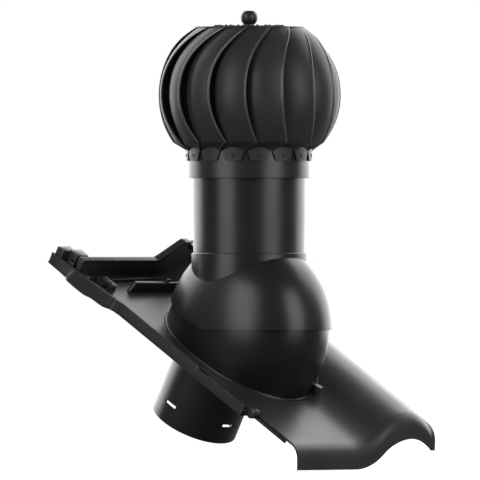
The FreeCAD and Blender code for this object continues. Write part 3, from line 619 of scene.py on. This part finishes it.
TO_ROOF = ROOF.inverted()
OPENING_INSET = 1.4
places = {vert: TO_ROOF @ vert.co for vert in skin.verts}
inside = {vert: dome_outline(place.x, place.y, OPENING_INSET) < 1.0 for vert, place in places.items()}
hidden = []
for vert, place in places.items():
    if not inside[vert]:
        continue
    if all(inside[edge.other_vert(vert)] for edge in vert.link_edges):
        hidden.append(vert)
        continue
    scale = dome_outline(place.x, place.y, OPENING_INSET) ** (-1.0 / FULLNESS)
    x = place.x * scale
    vert.co = roof(x, DOME_T + (place.y - DOME_T) * scale, tile_height(x))
bmesh.ops.delete(skin, geom=hidden, context="VERTS")
thicken(skin, TILE_WALL)
piece("tile_skin", skin, "roof_base", tile_plastic, "base_tile", "base_tile")

FOOT_PROFILE = ((-0.6, 3.0), (0.5, 2.9), (1.5, 2.5), (2.4, 1.8), (3.0, 0.9), (3.4, -0.4))


def foot_point(column, row):
    """The rounded foot that runs round the dome on the tile's surface."""
    turn = math.tau * column / HOOD_STEPS
    out, rise = FOOT_PROFILE[row]
    reach = dome_outline(math.cos(turn), DOME_T + math.sin(turn)) ** (-1.0 / FULLNESS)
    way = Vector((math.cos(turn), math.sin(turn)))
    x = way.x * reach
    t = way.y * reach
    slope_x = (abs(x) / DOME_HALF) ** (FULLNESS - 1) / DOME_HALF * math.copysign(1, x)
    slope_t = (abs(t) / DOME_RADIUS) ** (FULLNESS - 1) / DOME_RADIUS * math.copysign(1, t)
    normal = Vector((slope_x, slope_t)).normalized()
    x += normal.x * out
    return roof(x, DOME_T + t + normal.y * out, tile_height(x) + rise)


foot = closed_patch(HOOD_STEPS, len(FOOT_PROFILE), foot_point)
bmesh.ops.recalc_face_normals(foot, faces=foot.faces)
# The foot takes the dome's darker plastic as painted shade.
piece("dome_foot", foot, "roof_base", dome_plastic_painted_shade, "levelling_dome", angle=60.0)

LOCK_FRONT = -130.0
LOCK_HEAD = 301.0
LOCK_BOTTOM = -9.0
LOCK_FLOOR = -6.0
RIM = 3.5
LOCK_EDGE = PAN_LEFT + 0.5
RIM_FOOT = (
    (LOCK_FRONT, -126.0), (150.0, -126.0), (165.0, -128.0), (177.0, -138.5), (186.0, -140.0), (196.0, -140.5),
    (213.0, -147.5), (230.0, -148.0), (248.0, -147.0), (260.0, -141.0), (275.0, -139.6), (LOCK_HEAD, -139.0),
)
RIM_TOP = ((LOCK_FRONT, -126.0), (150.0, -126.0), (172.0, -127.5), (LOCK_HEAD, -139.0))
RIM_HEIGHT = (
    (LOCK_FRONT, 8.0), (-52.0, 8.0), (-43.0, 5.6), (-26.0, 5.6), (-18.0, 9.5), (150.0, 9.5), (170.0, 8.0),
    (LOCK_HEAD, 8.0),
)
RIM_STEPS = 216


def along(table, t):
    """Reads a table of (t, value) with an eased step between its entries."""
    for (t0, value0), (t1, value1) in zip(table, table[1:]):
        if t <= t1:
            share = max(0.0, (t - t0) / (t1 - t0))
            return value0 + (value1 - value0) * share * share * (3.0 - 2.0 * share)
    return table[-1][1]


def straight(table, t):
    """Reads a table of (t, value) with straight lines between its entries."""
    for (t0, value0), (t1, value1) in zip(table, table[1:]):
        if t <= t1:
            return value0 + (value1 - value0) * max(0.0, (t - t0) / (t1 - t0))
    return table[-1][1]


def rim_point(column, row):
    """The lock's rim, whose foot is wavy and whose top runs straight."""
    t = LOCK_FRONT + (LOCK_HEAD - LOCK_FRONT) * row / RIM_STEPS
    foot = along(RIM_FOOT, t)
    top = straight(RIM_TOP, t)
    high = along(RIM_HEIGHT, t)
    section = (
        (foot + RIM, LOCK_BOTTOM), (foot + 1.0, LOCK_BOTTOM), (foot + 0.2, LOCK_BOTTOM + 0.4),
        (foot, LOCK_BOTTOM + 1.2), (foot, LOCK_FLOOR - 0.6), (foot + 0.9, LOCK_FLOOR),
        (top + 0.5, high - 2.4), (top, high - 1.6), (top + 0.3, high - 0.4), (top + 1.1, high),
        (top + RIM - 1.0, high), (top + RIM, high - 1.0), (foot + RIM, LOCK_FLOOR),
        (foot + RIM, LOCK_BOTTOM),
    )
    x, w = section[column]
    return roof(x, t, w)


rim = patch(14, RIM_STEPS + 1, rim_point)
bmesh.ops.remove_doubles(rim, verts=rim.verts, dist=0.001)
bmesh.ops.holes_fill(rim, edges=[edge for edge in rim.edges if edge.is_boundary])
bmesh.ops.recalc_face_normals(rim, faces=rim.faces)
floor_edge = [(along(RIM_FOOT, t) + 0.6, t) for t in spread(LOCK_FRONT, LOCK_HEAD, 72) + [LOCK_HEAD]]
floor_edge += [(LOCK_EDGE, LOCK_HEAD), (LOCK_EDGE, LOCK_FRONT)]


def box(x0, x1, t0, t1, low, high, rounding=0.6):
    """A block with rounded edges on the roof, from its limits in x, t and w."""
    return slab([(x0, t0), (x1, t0), (x1, t1), (x0, t1)], low, high, rounding)


lock_floor = slab(floor_edge, LOCK_BOTTOM + 0.2, LOCK_FLOOR, 0.0)
lock_parts = [
    rim, lock_floor,
    box(PAN_LEFT - TILE_WALL, LOCK_EDGE, LOCK_FRONT, LOCK_HEAD, LOCK_BOTTOM, 0.0),
    box(-126.0, LOCK_EDGE, LOCK_FRONT, LOCK_FRONT + RIM, LOCK_BOTTOM, 0.0),
    box(-112.0, LOCK_EDGE, -108.0, -92.0, -6.5, 3.5, 1.2),
]
piece("side_lock", merged(lock_parts), "roof_base", tile_plastic, "base_tile")


def upright(x, t, radius, low, high, segments=40):
    """A post square to the roof with a rounded top edge."""
    ring = [(x + radius * math.cos(math.tau * index / segments),
             t + radius * math.sin(math.tau * index / segments)) for index in range(segments)]
    return slab(ring, low, high, 0.7)


def lying(x0, x1, t, w, radius, segments=40):
    """A round bar across the roof with rounded ends."""
    ring = [(w + radius * math.cos(math.tau * index / segments),
             t + radius * math.sin(math.tau * index / segments)) for index in range(segments)]
    bar = slab(ring, x0, x1, 1.0, leaning=False)
    for vert in bar.verts:
        vert.co = roof(vert.co.z, vert.co.y, vert.co.x)
    bmesh.ops.recalc_face_normals(bar, faces=bar.faces)
    return bar


WALL_FRONT = 248.6
WALL_THICK = 9.3
LIP_DEPTH = 5.0
LIP_STANDS_OUT = 2.2
WALL_TOP = (
    (-130.0, 26.0), (18.0, 26.0), (22.0, 28.0), (55.0, 54.2), (58.8, 56.1), (70.1, 56.1), (72.0, 52.0),
    (73.0, 48.0), (88.0, 48.0),
)


def across_roof(outline, t0, t1, rounding):
    """A plate that stands across the roof, from its outline in x and w."""
    plate = slab(outline, t0, t1, rounding, leaning=False)
    for vert in plate.verts:
        vert.co = roof(vert.co.x, vert.co.z, vert.co.y)
    bmesh.ops.recalc_face_normals(plate, faces=plate.faces)
    return plate


wall_outline = [(88.0, -2.0), (-130.0, -8.0)] + list(WALL_TOP)
head_wall = across_roof(wall_outline, WALL_FRONT, WALL_FRONT + WALL_THICK, 1.4)
lip_outline = list(WALL_TOP) + [(x, w - LIP_DEPTH) for x, w in WALL_TOP[::-1]]
head_parts = [
    head_wall,
    across_roof(lip_outline, WALL_FRONT - LIP_STANDS_OUT, WALL_FRONT + 1.0, 0.7),
    box(-136.0, -112.0, 284.0, 298.0, -8.0, 20.0, 1.2),
    box(-124.0, -101.0, 267.0, 285.0, -7.0, 22.0, 1.2),
    box(-131.0, -127.0, 262.0, 276.0, -7.0, 12.0, 1.0),
]
piece("head_wall", merged(head_parts), "roof_base", tile_plastic, "base_tile")


def border(x0, x1, t0, t1, side, end, low, high):
    """Four bars round a pocket: the side bars' width is across the roof, the end bars' along it."""
    return [
        box(x0, x1, t0, t0 + end, low, high),
        box(x0, x1, t1 - end, t1, low, high),
        box(x0, x0 + side, t0, t1, low, high),
        box(x1 - side, x1, t0, t1, low, high),
    ]


nose_start = -(FRONT_REACH / math.cos(PITCH)) + NOSE_RADIUS
FLUTES = (207.0, 212.2, 217.4, 222.6, 227.8)
cross_ribs = [
    slab([(-80.0, 229.0), (40.0, 236.0), (40.0, 240.0), (-80.0, 233.0)], -1.0, 4.0, 0.9),
    across_roof([(-66.0, -1.0), (58.0, -1.0), (58.0, 14.7), (-58.0, 14.7)], 202.0, 208.0, 1.0),
    box(3.0, 9.0, 203.0, 207.0, 10.0, 19.5, 0.9),
]
pocket = border(-105.0, -82.0, 214.0, 237.0, 4.0, 4.5, -1.0, 3.2)
lug = [box(-99.6, -90.4, 205.0, 232.0, -1.0, 8.4, 1.4)]
lug += [box(-100.2, -89.8, t, t + 2.4, -1.0, 9.2, 0.7) for t in FLUTES]
bosses = [upright(46.0, -96.0, 6.5, 0.0, 19.0), upright(-125.5, 240.0, 9.0, -6.0, 6.0)]
lock_end = [
    lying(PAN_LEFT - 12.0, PAN_LEFT, LOCK_FRONT - 8.0, 0.0, 7.5),
    box(PAN_LEFT, PAN_LEFT + TILE_WALL, nose_start, LOCK_FRONT + 2.0, -8.5, -1.0, 0.8),
]
rib_parts = cross_ribs + pocket + lug + bosses + lock_end
piece("tile_ribs", merged(rib_parts), "roof_base", tile_plastic, "base_tile")

NIB_HALF = 11.0
NIB_PLACES = (-70.0, 20.0)
nib_parts = [box(x - NIB_HALF, x + NIB_HALF, 240.0, 253.0, -21.2, -2.5, 1.0) for x in NIB_PLACES]
piece("batten_nibs", merged(nib_parts), "roof_base", tile_plastic, "base_tile")


# Spigot

PIPE_RADIUS = 62.5
PIPE_T = 54.0
PIPE_REACH = 126.6
PIPE_STEPS = 180
PLATE_TOP = -4.7
PLATE_BOTTOM = -7.2
PLATE_HALF_WIDTH = 99.5
PLATE_HALF_LENGTH = 134.5
PIPE_WALL = 2.5
PIPE_BORE = PIPE_RADIUS - PIPE_WALL
BLEND = 4.0
BLEND_RADIUS = PIPE_RADIUS + BLEND
SLOT_RISE = 26.0
SLOT_HEIGHT = 5.0
SLOT_LOW = SLOT_RISE - PIPE_REACH
SLOT_HIGH = SLOT_LOW + SLOT_HEIGHT
SLOT_HALF_ANGLE = 9.5
pipe_rows = [
    -PIPE_REACH, SLOT_LOW - 8.0, SLOT_LOW, SLOT_HIGH, SLOT_HIGH + 8.0, -40.0, -12.0, PLATE_BOTTOM - BLEND,
]
pipe = spun([(PIPE_RADIUS, w) for w in pipe_rows], PIPE_STEPS, closed=False)
slot_faces = []
for face in pipe.faces:
    middle = face.calc_center_median()
    turn = math.degrees(math.atan2(middle.y, middle.x)) % 90.0
    near = min(turn, 90.0 - turn)
    if SLOT_LOW < middle.z < SLOT_HIGH and near < SLOT_HALF_ANGLE:
        slot_faces.append(face)
bmesh.ops.delete(pipe, geom=slot_faces, context="FACES")
thicken(pipe, PIPE_WALL)
bmesh.ops.transform(pipe, matrix=ROOF @ Matrix.Translation((0, PIPE_T, 0)), verts=pipe.verts)


def plate_point(column, row):
    """The closing plate round the spigot, whose lower face is rounded into the pipe."""
    turn = math.tau * column / PIPE_STEPS
    way = Vector((math.cos(turn), math.sin(turn)))
    middle = Vector((0.0, PIPE_T))
    inner = middle + way * PIPE_BORE
    outer = Vector((PLATE_HALF_WIDTH * way.x, DOME_T + PLATE_HALF_LENGTH * way.y))
    stations = [
        (inner, PLATE_TOP), (outer, PLATE_TOP), (outer, PLATE_BOTTOM),
        (middle + way * BLEND_RADIUS, PLATE_BOTTOM), (middle + way * PIPE_RADIUS, PLATE_BOTTOM - BLEND),
        (inner, PLATE_BOTTOM - BLEND), (inner, PLATE_TOP),
    ]
    place, w = stations[row]
    return roof(place.x, place.y, w)


plate = closed_patch(PIPE_STEPS, 7, plate_point)
bmesh.ops.recalc_face_normals(plate, faces=plate.faces)
piece("spigot", merged([pipe, plate]), "roof_base", tube_plastic, "spigot_plate", "spigot_plate")


# Finishes of the nodes that stay

FINISHES = {
    "crown_plate": powder_coat, "cap_disc": powder_coat, "hub": powder_coat,
    "crown_rivets": rivet_black_and_painted_shadow, "hub_rivets": rivet_black_and_painted_shadow, "tab_rivets": rivet_black_and_painted_shadow,
    "bearing_bridge": powder_coat, "bearing_housing": powder_coat,
    "spigot_gasket": black_rubber, "dome_seal": black_rubber, "collar_seal": black_rubber,
    "spigot_screws": zinc_plate, "bridge_rivets": zinc_plate, "housing_screws": zinc_plate,
    "housing_nuts": zinc_plate, "rotor_shaft": zinc_plate,
}
for name, obj in nodes.items():
    finish = FINISHES.get(name, ground_steel)
    if obj.hide_render:
        finish = tile_plastic
    obj.data.materials.clear()
    obj.data.materials.append(finish)


# Camera

RIGHT = Vector((math.sqrt(0.5), -math.sqrt(0.5), 0.0))
BACK = Vector((-math.sqrt(0.5), -math.sqrt(0.5), 0.0))
CAMERA_DISTANCE = 28.3
look_at = TILT_CENTRE + RIGHT * -0.01303 + Vector((0.0, 0.0, 0.1274))
camera_data = bpy.data.cameras.new("camera")
camera_data.sensor_width = 36.0
camera_data.lens = 1500.0
camera_data.clip_start = 0.5
camera_data.clip_end = 60.0
camera = bpy.data.objects.new("camera", camera_data)
bpy.context.scene.collection.objects.link(camera)
camera.location = look_at + BACK * CAMERA_DISTANCE
camera.rotation_mode = "QUATERNION"
camera.rotation_quaternion = (-BACK).to_track_quat("-Z", "Y")
bpy.context.scene.camera = camera


# Floor, world and lamps

FLOOR_Z = cad_low.z - 0.002
floor_mesh = bmesh.new()
bmesh.ops.create_circle(floor_mesh, cap_ends=True, radius=20.0, segments=64)
bmesh.ops.translate(floor_mesh, verts=floor_mesh.verts, vec=(0, 0, FLOOR_Z))
floor_data = bpy.data.meshes.new("floor")
floor_mesh.to_mesh(floor_data)
floor_mesh.free()
floor = bpy.data.objects.new("floor", floor_data)
bpy.context.scene.collection.objects.link(floor)

floor_finish = bpy.data.materials.new("pale_floor")
floor_finish.use_nodes = True
floor_tree = floor_finish.node_tree
floor_shader = floor_tree.nodes["Principled BSDF"]
floor_shader.inputs["Base Color"].default_value = (0.13, 0.13, 0.13, 1.0)
floor_shader.inputs["Roughness"].default_value = 0.9
floor_seen = floor_tree.nodes.new("ShaderNodeBsdfPrincipled")
floor_seen.inputs["Base Color"].default_value = (0.85, 0.85, 0.85, 1.0)
floor_seen.inputs["Roughness"].default_value = 0.9
floor_seen.inputs["Emission Color"].default_value = (1.0, 1.0, 1.0, 1.0)
floor_place = floor_tree.nodes.new("ShaderNodeTexCoord")
floor_reach = floor_tree.nodes.new("ShaderNodeVectorMath")
floor_reach.operation = "LENGTH"
floor_glow = node(floor_tree, "MapRange", From_Min=0.8, From_Max=2.2, To_Min=0.5, To_Max=1.0)
floor_tree.links.new(floor_place.outputs["Object"], floor_reach.inputs[0])
floor_tree.links.new(floor_reach.outputs["Value"], floor_glow.inputs["Value"])
floor_tree.links.new(floor_glow.outputs["Result"], floor_seen.inputs["Emission Strength"])
path = floor_tree.nodes.new("ShaderNodeLightPath")
choice = floor_tree.nodes.new("ShaderNodeMixShader")
floor_tree.links.new(path.outputs["Is Camera Ray"], choice.inputs["Fac"])
floor_tree.links.new(floor_shader.outputs["BSDF"], choice.inputs[1])
floor_tree.links.new(floor_seen.outputs["BSDF"], choice.inputs[2])
floor_tree.links.new(choice.outputs["Shader"], floor_tree.nodes["Material Output"].inputs["Surface"])
floor_data.materials.append(floor_finish)

world = bpy.data.worlds.new("studio")
bpy.context.scene.world = world
world.use_nodes = True
sky = world.node_tree
background = sky.nodes["Background"]
background.inputs["Color"].default_value = (1.0, 1.0, 1.0, 1.0)
ray = sky.nodes.new("ShaderNodeLightPath")
level = node(sky, "MapRange", To_Min=0.09, To_Max=1.0)
sky.links.new(ray.outputs["Is Camera Ray"], level.inputs["Value"])
sky.links.new(level.outputs["Result"], background.inputs["Strength"])


def softbox(name, azimuth, elevation, distance, width, height, power):
    """A soft lamp at an angle round the tube from the camera, facing the part."""
    turn = math.radians(azimuth)
    lift = math.radians(elevation)
    way = BACK * math.cos(turn) + RIGHT * math.sin(turn)
    middle = TILT_CENTRE + Vector((0.0, 0.0, 0.15))
    lamp = bpy.data.lights.new(name, "AREA")
    lamp.shape = "RECTANGLE"
    lamp.size = width
    lamp.size_y = height
    lamp.energy = power
    made = bpy.data.objects.new(name, lamp)
    bpy.context.scene.collection.objects.link(made)
    side = way * math.cos(lift) + Vector((0.0, 0.0, math.sin(lift)))
    made.location = middle + side * distance
    made.rotation_mode = "QUATERNION"
    made.rotation_quaternion = (-side).to_track_quat("-Z", "Y")
    return made


softbox("left_box", -47.0, 17.0, 2.5, 1.45, 2.1, 29.0)
softbox("right_box", 47.0, 17.0, 2.5, 1.45, 2.1, 29.0)
softbox("back_left_wall", -145.0, 18.0, 2.6, 3.2, 3.2, 100.0)
softbox("back_right_wall", 145.0, 18.0, 2.6, 3.2, 3.2, 100.0)

bpy.context.scene.view_settings.view_transform = "Standard"
